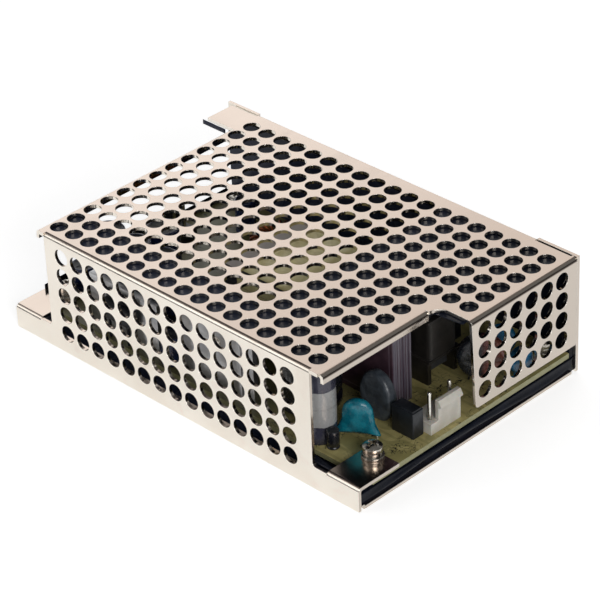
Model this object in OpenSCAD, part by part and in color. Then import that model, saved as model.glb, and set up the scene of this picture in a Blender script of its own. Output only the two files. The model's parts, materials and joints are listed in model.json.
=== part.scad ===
// Open frame power supply: a board on a folded base tray, under a perforated folded cover.
// +X is the input end, -Y the perforated long wall, +Z up. Origin: centre of the bounding box, on the floor.

/* [Case] */
// Length of the case
case_l = 136.5; // [134:0.5:170]
// Width of the case over the two long walls
case_w = 89; // [87:0.5:110]
// Height of the case
case_h = 37.6; // [37:0.2:50]
// Thickness of the case sheet
sheet_t = 1; // [0.8:0.1:1.3]
// Outside radius of the folds
bend_r = 1.6; // [1.5:0.1:2]

/* [Cover] */
// Depth of the open bay at the input end
in_bay = 11.9; // [11:0.1:13]
// Depth of the open bay at the output end
out_bay = 12.3; // [11.6:0.1:13]
// How far the top reaches past the perforated wall at the input end
in_overhang = 4.7; // [4:0.1:6]
// How far the top reaches past the perforated wall at the output end
out_overhang = 3.6; // [2.8:0.1:5]
// Width of the open mouth at the input end, from the perforated wall to the flap
mouth_w = 44.7; // [44:0.1:50]
// Corner radius of the mouth
mouth_r = 3.8; // [2:0.1:5]
// Height of the stiffening lips at both ends of the top
lip_h = 2.8; // [2.2:0.1:4]
// Lean of the flap's free edge
flap_lean = 1.5; // [0:0.1:3]
// Gap between the board and the flap
flap_gap = 2.6; // [1.5:0.1:4]
// Reach of the board tabs in from the perforated wall
tab_reach = 15.7; // [15.2:0.1:18]
// Gap between a board tab and the perforated wall
tab_relief = 5; // [3:0.1:6]
// Reach of the top tab at the output end
top_tab_l = 9.8; // [8:0.1:11]
// Width of the top tab at the output end
top_tab_w = 10.2; // [8:0.1:14]
// Width of the slot between the top and the plain wall at the ends
slot_w = 0.8; // [0.4:0.1:1.2]
// Length of that slot at the output end, from the case end
out_slot = 12.8; // [11:0.1:14]
// Length of that slot at the input end, from the case end
in_slot = 14.5; // [12:0.1:18]

/* [Perforation] */
// Distance between hole centres
hole_pitch = 6.35; // [6.2:0.05:8]
// Diameter of the holes
hole_d = 5.2; // [4:0.1:5.4]
// Least metal left between a hole and a cut edge or fold
hole_land = 0.6; // [0.5:0.1:2]

/* [Base] */
// Gap between the base flanges and the cover's walls
nest_gap = 0.1; // [0.1:0.05:0.3]
// Height of the base flange behind the perforated wall
low_flange_h = 4; // [3:0.1:4.5]
// Height of the base flange behind the plain wall
high_flange_h = 13; // [12:0.1:16]
// Setback of the base flanges from the case ends
flange_setback = 2; // [1.6:0.1:4]
// Thickness of the insulating sheet
film_t = 0.4; // [0.2:0.1:0.5]
// Height of the insulating sheet along the plain wall
film_h = 34; // [20:0.5:34.5]
// Distance from the case ends to the mounting holes
mount_end = 15.75; // [15.5:0.05:30]
// Distance from the case sides to the mounting holes
mount_side = 14.5; // [13:0.1:20]
// Diameter of the tapped mounting holes
mount_d = 2.6; // [2.4:0.1:3.4]
// Height of the drawn collar round a mounting hole
collar_h = 1.2; // [0.8:0.1:2]

/* [Board] */
// Thickness of the board
board_t = 1.6; // [1.2:0.1:2]
// Height of the standoffs
standoff_h = 3.9; // [3.8:0.1:6]
// Setback of the board from the case ends
board_setback = 1.1; // [0.8:0.1:2]
// Distance from the outside of the perforated wall to the board
board_front = 6.6; // [4:0.1:7]
// Clearance between the board and the base flange
board_back_gap = 0.6; // [0.6:0.1:1]
// Distance from the case ends to the board screws
screw_inset = 7.6; // [7:0.1:8]
// Distance from the outside of the perforated wall to its board screws
screw_front = 13.6; // [13:0.1:14.5]
// Distance from the board's far edge to the other board screws
screw_back = 3.6; // [3.4:0.1:4.5]

/* [Fasteners] */
// Thread diameter of all screws
screw_d = 2.9; // [2.5:0.1:3]
// Clearance between a screw and a hole that it passes through
screw_play = 0.4; // [0.2:0.1:0.8]
// Head diameter of the board screws
head_d = 5.6; // [5:0.1:6]
// Head height of the board screws
head_h = 2.2; // [1.8:0.1:2.6]
// Height of a spring washer
spring_t = 1.2; // [0.8:0.1:1.4]
// Thickness of a flat washer
washer_t = 0.8; // [0.5:0.1:1]
// Diameter of a flat washer
washer_d = 6.4; // [6.4:0.1:7]
// Head height of the side screws
side_head_h = 1.6; // [1.2:0.1:2]
// Height of the side screws above the floor
side_screw_z = 10; // [9.6:0.1:10.5]
// Distance from the case ends to the outer side screws
side_inset = 21.6; // [16:0.1:40]

/* [Input parts] */
// Length of the input header
header_w = 11.8; // [11:0.1:12.4]
// Distance between the header's two pins
pin_gap = 7.92; // [7:0.01:8.5]
// Diameter of a header pin
pin_d = 1.14; // [0.9:0.01:1.3]
// Height of the pins above the board
pin_h = 12.1; // [10:0.1:13]
// Height of the header's locking wall
lock_h = 9.5; // [8:0.1:10]
// Diameter of the sleeved fuse
sleeve_d = 8; // [6:0.1:8.4]
// Height of the sleeved fuse
sleeve_h = 26.5; // [20:0.1:27]
// Diameter of the varistor's disc
varistor_d = 10; // [8:0.1:11]
// Diameter of the thermistor's disc
thermistor_d = 14; // [12:0.1:15]
// Height of the film capacitor
film_cap_h = 24; // [18:0.1:26]

/* [Power parts] */
// Diameter of the bulk capacitor
bulk_d = 18; // [14:0.1:18.5]
// Height of the bulk capacitor
bulk_h = 27; // [20:0.1:28]
// Height of the primary heatsink
sink_h = 24; // [21:0.1:28]
// Height of the secondary heatsink
out_sink_h = 16.2; // [15.6:0.1:28]
// Thickness of the heatsinks
sink_t = 2; // [1.5:0.1:2.5]
// Length of each heatsink
sink_l = 28; // [24:0.1:29]
// Length of the transformer's core
core_l = 30; // [26:0.1:30.5]
// Width of the transformer's core
core_w = 30; // [26:0.1:31]
// Height of the transformer's core
core_h = 19; // [16:0.1:21]
// Thickness of each end plate of the core
core_t = 5.5; // [4:0.1:6.5]
// Outer diameter of the output inductor
inductor_d = 20; // [16:0.1:21]
// Diameter of the output capacitors
out_cap_d = 10; // [8:0.1:10.4]
// Height of the output capacitors
out_cap_h = 24; // [15:0.1:25]

/* [Hidden] */

$fn = 32;
fine = 64;
eps = 0.01;

// Places along the case are u, from the output end; across it v, from the perforated wall; z from the floor.
x_out = -case_l / 2;
y_front = -(case_w + side_head_h) / 2;
board_z = sheet_t + standoff_h;
board_top = board_z + board_t;
tab_top = board_top + sheet_t;
in_edge = case_l - in_bay;
wall_u0 = out_bay + out_overhang;
wall_u1 = in_edge - in_overhang;
in_tab_l = in_bay + in_overhang - tab_relief;
out_tab_l = out_bay + out_overhang - tab_relief;
relief_drop = 0.4;
lip_relief = 1.3;
part_gap = 0.4;
flap_z0 = board_top + flap_gap;
hole_r = hole_d / 2;
top_row_v = bend_r + hole_r + 1.2;
top_col_u = out_bay + bend_r + hole_r + 0.1;
wall_col_u = wall_u0 + hole_r + 4.3;
base_v0 = sheet_t + nest_gap;
base_v1 = case_w - sheet_t - nest_gap;
board_v0 = board_front;
board_v1 = base_v1 - sheet_t - board_back_gap;
board_l = case_l - 2 * board_setback;
board_w = board_v1 - board_v0;
pass_d = screw_d + screw_play;
thread_d = screw_d + 0.1;
screw_us = [screw_inset, case_l - screw_inset];
screw_vs = [screw_front, board_v1 - screw_back];
stack_h = washer_t + spring_t;
side_us = [side_inset, case_l / 2, case_l - side_inset];

// How much longer, wider and higher the room for the parts is than the one they are laid out for.
spread_u = case_l / 136.5;
spread_v = case_w / 89;
spread_z = (case_h - sheet_t - board_top) / 30.1;
// The parts grow only when all three grow, and shrink with the smallest. Their named sizes never grow.
fit = min(spread_u, spread_v, spread_z);
function own(size) = size / max(1, fit);

module at(u, v, z = 0) translate([x_out + u, y_front + v, z]) children();
module on_board(u, v, turn = 0) at(u * spread_u, v * spread_v, board_top) rotate(turn) scale(fit) children();
// Places near the input end are given from that end.
module by_input(d, v, turn = 0) on_board(136.5 - d, v, turn) children();
module each_board_screw() for (u = screw_us, v = screw_vs) at(u, v, v == screw_front ? tab_top : board_top)
  children();

// A quarter ring that joins two plates at a fold: it opens from +X to +Y round the origin.
module fold(l, r = bend_r, t = sheet_t) linear_extrude(l) intersection() {
  difference() {
    circle(r = r, $fn = fine);
    circle(r = r - t, $fn = fine);
  }
  square(r);
}
// What rounds an inside corner whose two edges run along +X and +Y.
module inside_corner(r) difference() {
  square(r);
  translate([r, r]) circle(r = r, $fn = fine);
}
// What rounds an outside corner that points to +X +Y, with its centre at the origin.
module outside_corner(r) difference() {
  square(r + eps);
  circle(r = r, $fn = fine);
}
module rounded(l, w, r) union() {
  translate([r, 0]) square([l - 2 * r, w]);
  translate([0, r]) square([l, w - 2 * r]);
  for (x = [r, l - r], y = [r, w - r]) translate([x, y]) circle(r = r);
}
module ring(outer, inner, h) difference() {
  cylinder(d = outer, h = h, $fn = fine);
  translate([0, 0, -eps]) cylinder(d = inner, h = h + 2 * eps, $fn = fine);
}

// ---- Cover ----
module top_holes() {
  last_v = case_w - bend_r - hole_r - hole_land;
  for (u = [top_col_u : hole_pitch : case_l - bend_r - hole_r - hole_land],
       v = [top_row_v : hole_pitch : last_v - hole_r])
    if (u < in_edge - hole_r - hole_land || v > mouth_w + hole_r + hole_land)
      translate([u, v]) circle(d = hole_d);
}
top_tab_v = case_w - sheet_t - slot_w - top_tab_w;
module top_outline() difference() {
  union() {
    translate([out_bay + bend_r - eps, bend_r - eps])
      square([in_edge - out_bay - 2 * bend_r + 2 * eps, case_w - 2 * bend_r + 2 * eps]);
    translate([out_bay + bend_r - eps, 0]) square([out_overhang - bend_r + eps, 2 * bend_r]);
    translate([wall_u1, 0]) square([in_overhang - bend_r + eps, 2 * bend_r]);
    translate([wall_u1, mouth_w]) square([case_l - bend_r - wall_u1 + eps, case_w - bend_r - mouth_w + eps]);
    translate([in_edge - bend_r, mouth_w - mouth_r]) square([bend_r, mouth_r + 1]);
    translate([in_edge, mouth_w]) mirror([0, 1]) inside_corner(mouth_r);
    // Tab at the output end
    translate([out_bay - top_tab_l, top_tab_v]) square([top_tab_l + 2 * bend_r, case_w - bend_r - top_tab_v + eps]);
  }
  translate([-1, case_w - sheet_t - slot_w]) square([out_slot + 1, bend_r + 1]);
  translate([case_l - in_slot, case_w - sheet_t - slot_w]) square([in_slot + 1, bend_r + 1]);
}
module front_wall_outline() difference() {
  union() {
    square([case_l, tab_top - bend_r + eps]);
    translate([out_tab_l, 0]) square([in_edge + in_bay - in_tab_l - out_tab_l, tab_top - relief_drop]);
    translate([wall_u0, 0]) square([wall_u1 - wall_u0, case_h - bend_r + eps]);
    translate([wall_u1, tab_top - relief_drop]) inside_corner(1.3);
    translate([wall_u0, tab_top - relief_drop]) mirror([1, 0]) inside_corner(1.3);
  }
  for (u = [wall_col_u : hole_pitch : wall_u1 - hole_r - 2.5],
       z = [case_h - top_row_v : -hole_pitch : hole_r + hole_land])
    translate([u, z]) circle(d = hole_d);
}
module back_wall_outline() difference() {
  union() {
    square([case_l, case_h - bend_r + eps]);
    square([out_slot, case_h]);
    translate([case_l - in_slot, 0]) square([in_slot, case_h]);
  }
  for (u = side_us) translate([u, side_screw_z]) circle(d = pass_d);
}
module flap_outline() {
  flap_w = case_w - sheet_t - nest_gap - mouth_w;
  flap_h = case_h - bend_r - flap_z0;
  difference() {
    translate([mouth_w, flap_z0]) polygon([[0, flap_h + eps], [flap_lean, 0], [flap_w, 0], [flap_w, flap_h + eps]]);
    translate([mouth_w + flap_lean - eps, flap_z0 - eps]) inside_corner(1);
    for (v = [top_row_v : hole_pitch : case_w - bend_r - 2 * hole_r],
         z = [case_h - bend_r - hole_r - hole_land : -hole_pitch : flap_z0 + hole_r + hole_land])
      if (v > mouth_w + hole_r + hole_land) translate([v, z]) circle(d = hole_d);
  }
}
module board_tab(l) difference() {
  union() {
    translate([0, bend_r - eps, -sheet_t]) cube([l, tab_reach - bend_r + eps, sheet_t]);
    translate([0, bend_r, -bend_r]) rotate([90, 0, 90]) mirror([1, 0, 0]) fold(l);
  }
  children();
}
module tab_slot(u) {
  translate([u, screw_front, -sheet_t - eps]) cylinder(d = pass_d, h = sheet_t + 2 * eps);
  translate([u - pass_d / 2, screw_front, -sheet_t - eps]) cube([pass_d, tab_reach, sheet_t + 2 * eps]);
}
module cover() color([0.87, 0.81, 0.75]) at(0, 0) {
  translate([0, 0, case_h - sheet_t]) linear_extrude(sheet_t) difference() {
    top_outline();
    top_holes();
  }
  translate([0, sheet_t, 0]) rotate([90, 0, 0]) linear_extrude(sheet_t) front_wall_outline();
  translate([0, case_w, 0]) rotate([90, 0, 0]) linear_extrude(sheet_t) back_wall_outline();
  translate([wall_u0, bend_r, case_h - bend_r]) rotate([90, 0, 90]) mirror([1, 0, 0]) fold(wall_u1 - wall_u0);
  translate([out_slot, case_w - bend_r, case_h - bend_r]) rotate([90, 0, 90])
    fold(case_l - in_slot - out_slot);
  // Flap
  translate([case_l - sheet_t, 0, 0]) rotate([90, 0, 90]) linear_extrude(sheet_t) flap_outline();
  translate([case_l - bend_r, case_w - sheet_t - nest_gap, case_h - bend_r]) rotate([90, 0, 0])
    fold(case_w - sheet_t - nest_gap - mouth_w);
  // Lip over the mouth
  translate([in_edge - sheet_t, sheet_t / 2, case_h - lip_h])
    cube([sheet_t, mouth_w - mouth_r - sheet_t / 2, lip_h - bend_r + eps]);
  translate([in_edge - bend_r, mouth_w - mouth_r, case_h - bend_r]) rotate([90, 0, 0])
    fold(mouth_w - mouth_r - sheet_t / 2);
  // Lip over the output end
  out_lip_v = top_tab_v - lip_relief;
  translate([out_bay, sheet_t / 2, case_h - lip_h]) cube([sheet_t, out_lip_v - sheet_t / 2, lip_h - bend_r + eps]);
  translate([out_bay + bend_r, out_lip_v, case_h - bend_r]) rotate([90, 0, 0]) mirror([1, 0, 0])
    fold(out_lip_v - sheet_t / 2);
  // Board tabs
  translate([0, 0, tab_top]) board_tab(out_tab_l) tab_slot(screw_inset);
  translate([case_l - in_tab_l, 0, tab_top]) board_tab(in_tab_l) tab_slot(in_tab_l - screw_inset);
}

// ---- Base ----
module mount_places() for (u = [mount_end, case_l - mount_end], v = [mount_side, case_w - mount_side]) at(u, v)
  children();
module base_tray() color([0.85, 0.81, 0.75]) difference() {
  union() {
    at(0, base_v0 + bend_r) cube([case_l, base_v1 - base_v0 - 2 * bend_r, sheet_t]);
    at(flange_setback, 0) rotate([90, 0, 90]) {
      flange_l = case_l - 2 * flange_setback;
      translate([base_v0, bend_r - eps, 0]) cube([sheet_t, low_flange_h - bend_r + eps, flange_l]);
      translate([base_v1 - sheet_t, bend_r - eps, 0]) cube([sheet_t, high_flange_h - bend_r + eps, flange_l]);
      translate([base_v1 - bend_r, bend_r, 0]) rotate(-90) fold(flange_l);
    }
    at(0, base_v0 + bend_r, bend_r) rotate([90, 0, 90]) rotate(180) fold(case_l);
    mount_places() cylinder(d = mount_d + 2 * sheet_t, h = sheet_t + collar_h);
  }
  mount_places() translate([0, 0, -eps]) cylinder(d = mount_d, h = sheet_t + collar_h + 2 * eps);
  each_standoff() translate([0, 0, -eps]) cylinder(d = shank_d, h = sheet_t + 2 * eps);
  for (u = side_us) at(u, base_v1 + eps, side_screw_z) rotate([90, 0, 0])
    cylinder(d = thread_d, h = sheet_t + 2 * eps);
}
standoff_d = screw_d + 3.3;
shank_d = screw_d + 1.6;
film_gap = 0.6;
module each_standoff() for (u = screw_us, v = screw_vs) at(u, v) children();
module standoffs() color([0.72, 0.72, 0.7]) each_standoff() difference() {
  union() {
    translate([0, 0, sheet_t]) cylinder(d = standoff_d, h = standoff_h, $fn = 6);
    translate([0, 0, nest_gap]) cylinder(d = shank_d - nest_gap, h = sheet_t);
  }
  cylinder(d = thread_d, h = board_z + eps);
}
// The sheet lies on the base, rises along the plain wall and turns up in front of the board's edge.
module insulating_sheet() color([0.05, 0.05, 0.07]) {
  film_v0 = base_v0 + sheet_t + film_gap;
  film_v1 = base_v1 - sheet_t;
  film_r = bend_r - sheet_t;
  film_l = case_l - 2 * board_setback;
  difference() {
    at(board_setback, film_v0, sheet_t) cube([film_l, film_v1 - film_r - film_v0, film_t]);
    each_standoff() translate([0, 0, sheet_t - eps]) cylinder(d = standoff_d + 2 * film_gap, h = film_t + 2 * eps);
    mount_places() translate([0, 0, sheet_t - eps])
      cylinder(d = mount_d + 2 * sheet_t + 2 * film_gap, h = film_t + 2 * eps);
  }
  at(board_setback, film_v1 - film_t, bend_r - eps) cube([film_l, film_t, film_h - bend_r + eps]);
  at(board_setback, film_v1 - film_r, bend_r) rotate([90, 0, 90]) rotate(-90) fold(film_l, film_r, film_t);
  at(board_setback + film_l - film_t, film_v0, sheet_t) {
    cube([film_t, film_v1 - film_r - film_v0, standoff_h - 0.3]);
    translate([0, film_v1 - film_t - film_v0, bend_r - sheet_t])
      cube([film_t, film_t + sheet_t, flap_z0 - bend_r - film_gap]);
  }
}

// ---- Board and its fasteners ----
module board() color([0.55, 0.52, 0.3]) difference() {
  at(board_setback, board_v0, board_z) cube([board_l, board_w, board_t]);
  for (u = screw_us, v = screw_vs) at(u, v, board_z - eps) cylinder(d = pass_d, h = board_t + 2 * eps);
  input_pin_places() translate([0, 0, -2 * board_t]) cylinder(d = own(pin_d) + 0.4, h = 3 * board_t);
}
// A domed head with a small flat on top and a cross recess.
module pan_head(d, h) difference() {
  dome_r = d * 0.8;
  flat_cut = 0.15;
  recess_w = 0.8;
  rotate_extrude($fn = fine) intersection() {
    translate([0, h + flat_cut - dome_r]) circle(r = dome_r, $fn = 96);
    square([d / 2, h]);
  }
  for (a = [0, 90]) rotate(a) translate([-d * 0.3, -recess_w / 2, h * 0.45]) cube([d * 0.6, recess_w, h]);
}
module board_screws() color([0.75, 0.74, 0.72]) for (u = screw_us, v = screw_vs)
  at(u, v, (v == screw_front ? tab_top : board_top) + stack_h) {
    pan_head(head_d, head_h);
    translate([0, 0, -stack_h - board_top + sheet_t + 0.3])
      cylinder(d = screw_d, h = stack_h + board_top - sheet_t - 0.3 + eps);
  }
module spring_washers() color([0.5, 0.5, 0.5]) each_board_screw() translate([0, 0, washer_t]) difference() {
  ring(head_d - 0.2, pass_d, spring_t);
  translate([0, -0.4, -eps]) rotate([12, 0, 0]) cube([head_d, 0.6, 2 * spring_t]);
}
module flat_washers() color([0.7, 0.7, 0.68]) each_board_screw() ring(washer_d, pass_d, washer_t);
module side_screws() color([0.75, 0.74, 0.72]) for (u = side_us) at(u, case_w, side_screw_z)
  rotate([-90, 0, 0]) {
    pan_head(head_d, side_head_h);
    translate([0, 0, -2 * sheet_t - nest_gap]) cylinder(d = screw_d, h = 2 * sheet_t + nest_gap + eps);
  }

// ---- Parts at the input end ----
header_l = 7.6;
header_h = 3.4;
wafer_l = 25.6;
module input_header_place() by_input(5.4, 37.5) children();
module input_pin_places() input_header_place() for (s = [-1, 1])
  translate([0, s * own(pin_gap) / 2, 0]) children();
module input_header() color([0.8, 0.79, 0.75]) difference() {
  input_header_place() union() {
    translate([-5.3, -own(header_w) / 2, 0]) cube([own(header_l), own(header_w), own(header_h)]);
    translate([1.1, -own(header_w) / 2 + 3, 0]) cube([1.2, own(header_w) - 3, own(lock_h)]);
    translate([2.3 - eps, own(header_w) / 2, own(lock_h)]) rotate([90, 0, 0]) linear_extrude(own(header_w) - 3)
      polygon([[0, 0], [0.9, -1.4], [0.9, -2], [0, -2.4]]);
  }
  input_pin_places() translate([0, 0, -eps]) cylinder(d = own(pin_d) + 0.1, h = 4);
}
// A round pin with a domed end, from the depth given up to the pins' own height.
module pin(depth) {
  translate([0, 0, -depth]) cylinder(d = own(pin_d), h = depth + own(pin_h) - own(pin_d) / 2);
  translate([0, 0, own(pin_h) - own(pin_d) / 2 - eps]) sphere(d = own(pin_d));
}
module input_pins() color([0.78, 0.76, 0.7]) input_pin_places() pin(board_t / fit + 1.4);
module fuse_block() color([0.07, 0.08, 0.1]) by_input(13.1, 26.8) {
  linear_extrude(8.2) rounded(7.9, 4.2, 0.3);
  translate([0.4, 0.4, 8.2 - eps]) cube([7.1, 3.4, 0.5]);
}
module sleeved_fuse() color([0.23, 0.23, 0.28]) by_input(25.3, 12.1) rotate_extrude($fn = fine)
  difference() {
    square([own(sleeve_d) / 2, own(sleeve_h)]);
    translate([own(sleeve_d) / 2 - 1, own(sleeve_h) - 1]) outside_corner(1);
    translate([-eps, own(sleeve_h) - 0.8]) square([own(sleeve_d) / 2 - 1.2, 1]);
  }
module lead(x, y, h, d = 0.8) translate([x, y, 0]) cylinder(d = d, h = h + eps, $fn = 16);
module varistor() color([0.1, 0.38, 0.42]) by_input(17.5, 18.5, 32) {
  d = own(varistor_d);
  foot_h = 1.6;
  body_t = 3.4;
  translate([0, body_t / 2, foot_h]) rotate([90, 0, 0]) linear_extrude(body_t) {
    translate([0, d / 2 + 0.6]) circle(d = d, $fn = fine);
    polygon([[-d * 0.47, d * 0.48], [-d * 0.6, 0], [-d * 0.45, 0], [-d * 0.2, d * 0.3], [d * 0.2, d * 0.3],
      [d * 0.45, 0], [d * 0.6, 0], [d * 0.47, d * 0.48]]);
  }
  for (s = [-1, 1]) lead(s * d * 0.52, 0, foot_h);
}
// A dipped disc that stands on its two leads, its faces towards -Y and +Y.
module dipped_disc(d, t, leg) {
  translate([0, t / 2, leg + d / 2]) rotate([90, 0, 0]) rotate_extrude($fn = fine) difference() {
    square([d / 2, t]);
    translate([d / 2 - t * 0.35, t * 0.65]) outside_corner(t * 0.35);
    translate([d / 2 - t * 0.35, t * 0.35]) mirror([0, 1]) outside_corner(t * 0.35);
  }
  for (s = [-1, 1]) lead(s * d * 0.25, 0, leg + d * 0.1);
}
// The thermistor's near edge stays clear of the fuse block, whatever its size.
module thermistor() color([0.24, 0.26, 0.29]) by_input(13.2, 29.3) translate([-own(thermistor_d) / 2, 0, 0])
  dipped_disc(own(thermistor_d), 4.4, 0.6);
module film_capacitor() color([0.24, 0.17, 0.2]) by_input(40.1, 34) {
  linear_extrude(own(film_cap_h)) rounded(21.2, 7.6, 0.6);
  for (v = [1.6 : 1.1 : 6]) translate([21.2 - eps, v, 1]) cube([0.3, 0.5, own(film_cap_h) - 2]);
}
module can(d, h) rotate_extrude($fn = fine) difference() {
  square([d / 2, h]);
  translate([d / 2 - d * 0.06, h - d * 0.06]) outside_corner(d * 0.06);
  translate([-eps, h - 0.4]) square([d * 0.4, 1]);
  translate([d / 2, d * 0.22]) circle(d = d * 0.06, $fn = 24);
}
module small_capacitors() color([0.12, 0.13, 0.2]) {
  by_input(19.2, 10.6) can(3.6, 5.5);
  on_board(55, 10.4) can(6.3, 9);
  on_board(62, 72) can(5, 11);
  on_board(54, 76) can(5, 11);
  on_board(20, 74) can(6.3, 11);
}
module y_capacitors() color([0.12, 0.36, 0.5]) {
  by_input(15.2, 73.6, 45) dipped_disc(9, 3.4, 0.6);
  by_input(4.8, 69.8, 80) dipped_disc(8, 3, 0.6);
}
module brown_disc() color([0.42, 0.22, 0.17]) by_input(10.7, 60.5, 45) dipped_disc(14, 3.8, 1);

// ---- Mains filter, rectifier and bulk capacitor ----
module choke_core() color([0.09, 0.09, 0.1]) by_input(30, 54.5) translate([0, 0, 3]) difference() {
  translate([-9, -3.5, 0]) cube([18, 7, 22]);
  translate([-5, -4, 4]) cube([10, 8, 14]);
}
module choke_windings() color([0.55, 0.3, 0.14]) by_input(30, 54.5) for (s = [-1, 1])
  translate([s * 7, 0, 7.2]) difference() {
    union() {
      linear_extrude(13.6) translate([-3.9, -5.6]) rounded(7.8, 11.2, 1.5);
      for (z = [0, 12.8]) translate([-4.2, -6.4, z]) cube([8.4, 12.8, 0.8]);
      translate([-3.4, -6, -7.2]) cube([6.8, 1.4, 8]);
      translate([-3.4, 4.6, -7.2]) cube([6.8, 1.4, 8]);
    }
    translate([-2.1, -3.6, -8]) cube([4.2, 7.2, 24]);
  }
module bridge_rectifier() color([0.08, 0.08, 0.09]) by_input(34, 68) {
  translate([-7.5, -1.8, 3]) rotate([90, 0, 0]) mirror([0, 0, 1]) linear_extrude(3.6) difference() {
    square([15, 11.6]);
    translate([15, 11.6]) rotate(45) square(3.4, center = true);
  }
  for (i = [0 : 3]) lead(-5.7 + i * 3.8, 0, 3, 1);
}
module bulk_capacitor() color([0.1, 0.1, 0.13]) by_input(39.5, 22.5) can(own(bulk_d), own(bulk_h));

// ---- Heatsinks and power devices ----
module in_sink_place() on_board(60, 10.2) children();
module out_sink_place() on_board(22, 10.2) children();
module heatsink(h) {
  cube([own(sink_l), own(sink_t), h]);
  for (u = [4, own(sink_l) - 6]) translate([u, -0.8, 0]) cube([2, 0.8 + eps, h]);
}
// The transistor's screw goes through its metal tab into the heatsink.
module device_screw_place() in_sink_place() translate([own(sink_l) / 2, own(sink_t), 15]) rotate([-90, 0, 0])
  children();
module primary_heatsink() color([0.62, 0.63, 0.64]) difference() {
  in_sink_place() heatsink(own(sink_h));
  device_screw_place() translate([0, 0, -own(sink_t) - 1]) cylinder(d = own(screw_d) + 0.1, h = own(sink_t) + 2);
}
module secondary_heatsink() color([0.62, 0.63, 0.64]) out_sink_place() heatsink(own(out_sink_h));
module power_transistor() color([0.1, 0.1, 0.11]) {
  difference() {
    in_sink_place() translate([own(sink_l) / 2 - 5, own(sink_t), 3.4]) cube([10, 1.3, 15.2]);
    device_screw_place() translate([0, 0, -eps]) cylinder(d = own(screw_d) + 0.4, h = 2);
  }
  in_sink_place() translate([own(sink_l) / 2, own(sink_t), 0]) {
    translate([-5, 0.4, 3.4]) cube([10, 4.1, 8.5]);
    for (i = [-1 : 1]) lead(i * 2.54, 2.6, 3.4, 0.8);
  }
}
module device_screws() color([0.75, 0.74, 0.72]) device_screw_place() {
  translate([0, 0, 1.3]) pan_head(own(head_d), 1.8);
  translate([0, 0, -own(sink_t)]) cylinder(d = own(screw_d), h = own(sink_t) + 1.3 + eps);
}
// The rectifier lies against the output heatsink's face towards the perforated wall.
module rectifier_diode() color([0.1, 0.1, 0.11]) out_sink_place() translate([own(sink_l) / 2, 0, 0]) {
  translate([-6, -1, 6.9]) cube([12, 1, 7.6]);
  translate([-6, -3.6, 6.9]) cube([12, 3.2, 5]);
  for (i = [-1 : 1]) lead(i * 3.8, -2.2, 6.9, 0.9);
}

// ---- Transformer ----
// The core lies along the case: two end plates, a round centre leg and two flat outer legs inside the winding.
module core_place() on_board(72.5, 44.75) children();
pin_rail_h = 5.5;
core_leg_d = 10;
core_leg_t = 4;
tape_t = 0.5;
module core_legs(play = 0) {
  span = own(core_l) - 2 * own(core_t) + 2 * eps;
  leg_h = own(core_h) + 2 * play;
  translate([-span / 2, 0, own(core_h) / 2]) rotate([0, 90, 0])
    cylinder(d = own(core_leg_d) + 2 * play, h = span, $fn = fine);
  for (s = [-1, 1]) translate([-span / 2, s * (own(core_w) - own(core_leg_t)) / 2 - own(core_leg_t) / 2 - play, -play])
    cube([span, own(core_leg_t) + 2 * play, leg_h]);
}
module transformer_core() color([0.17, 0.17, 0.18]) core_place() translate([0, 0, own(pin_rail_h)]) {
  for (u = [-own(core_l) / 2, own(core_l) / 2 - own(core_t)])
    translate([u, -own(core_w) / 2, 0]) cube([own(core_t), own(core_w), own(core_h)]);
  core_legs();
}
module transformer_bobbin() color([0.12, 0.11, 0.1]) core_place()
  for (u = [-own(core_l) / 2, own(core_l) / 2 - own(core_t)])
    translate([u, -own(core_w) / 2 + 1, 0]) cube([own(core_t), own(core_w) - 2, own(pin_rail_h)]);
module transformer_winding() color([0.72, 0.68, 0.35]) core_place() difference() {
  span = own(core_l) - 2 * own(core_t);
  block = [own(core_h) + 2 * own(tape_t) + 1, own(core_w) + 2 * own(tape_t)];
  translate([-span / 2, -block[1] / 2, own(pin_rail_h) + own(core_h) + own(tape_t)]) rotate([0, 90, 0])
    linear_extrude(span) rounded(block[0], block[1], 2);
  translate([0, 0, own(pin_rail_h)]) core_legs(0.1);
}

// ---- Output side ----
module inductor_place() on_board(41, 68) children();
module inductor_core() color([0.6, 0.6, 0.3]) inductor_place() translate([0, 0, 2])
  ring(own(inductor_d) - 3, own(inductor_d) * 0.5, 7);
module inductor_winding() color([0.6, 0.33, 0.14]) inductor_place() translate([0, 0, 0.4])
  for (a = [0 : 15 : 345]) rotate(a) inductor_turn(own(inductor_d) / 2);
// One turn of wire round the ring's section, drawn as a flat frame with the outer radius r.
module inductor_turn(r) translate([0.75 * r - 0.75, 0.6, 5.1]) rotate([90, 0, 0]) linear_extrude(1.2) difference() {
  translate([0.6 - r / 2, -5.1]) square([r - 1.2, 10.2]);
  translate([1.7 - r / 2, -3.6]) square([r - 3.4, 7.2]);
}
module output_capacitors() color([0.1, 0.13, 0.26]) {
  for (p = [[18.5, 21.5], [29.5, 21.5], [40.5, 21.5], [29.5, 32.5]])
    on_board(p[0], p[1]) can(own(out_cap_d), own(out_cap_h));
  // Two low ones stand beside the board screw, clear of its washer.
  on_board(6.5, (screw_front + washer_d / 2 + part_gap) / spread_v) {
    translate([0, 4, 0]) can(8, 7.5);
    translate([0, 13.2, 0]) can(7, 11);
  }
}
module optocouplers() color([0.88, 0.87, 0.84]) for (v = [27, 36]) on_board(51.5, v) {
  translate([-3.3, -2.3, 0.6]) cube([6.6, 4.6, 3.6]);
  for (x = [-3.6, 3.2], y = [-1.5, 1]) translate([x, y, 0]) cube([0.4, 0.5, 2.4]);
}
module control_circuit() color([0.08, 0.08, 0.09]) on_board(76, 73) {
  translate([-4.8, -3.2, 0.6]) cube([9.6, 6.4, 3.4]);
  for (i = [0 : 3], y = [-3.5, 3.1]) translate([-4.1 + i * 2.54, y, 0]) cube([0.6, 0.4, 2.2]);
}
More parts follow.
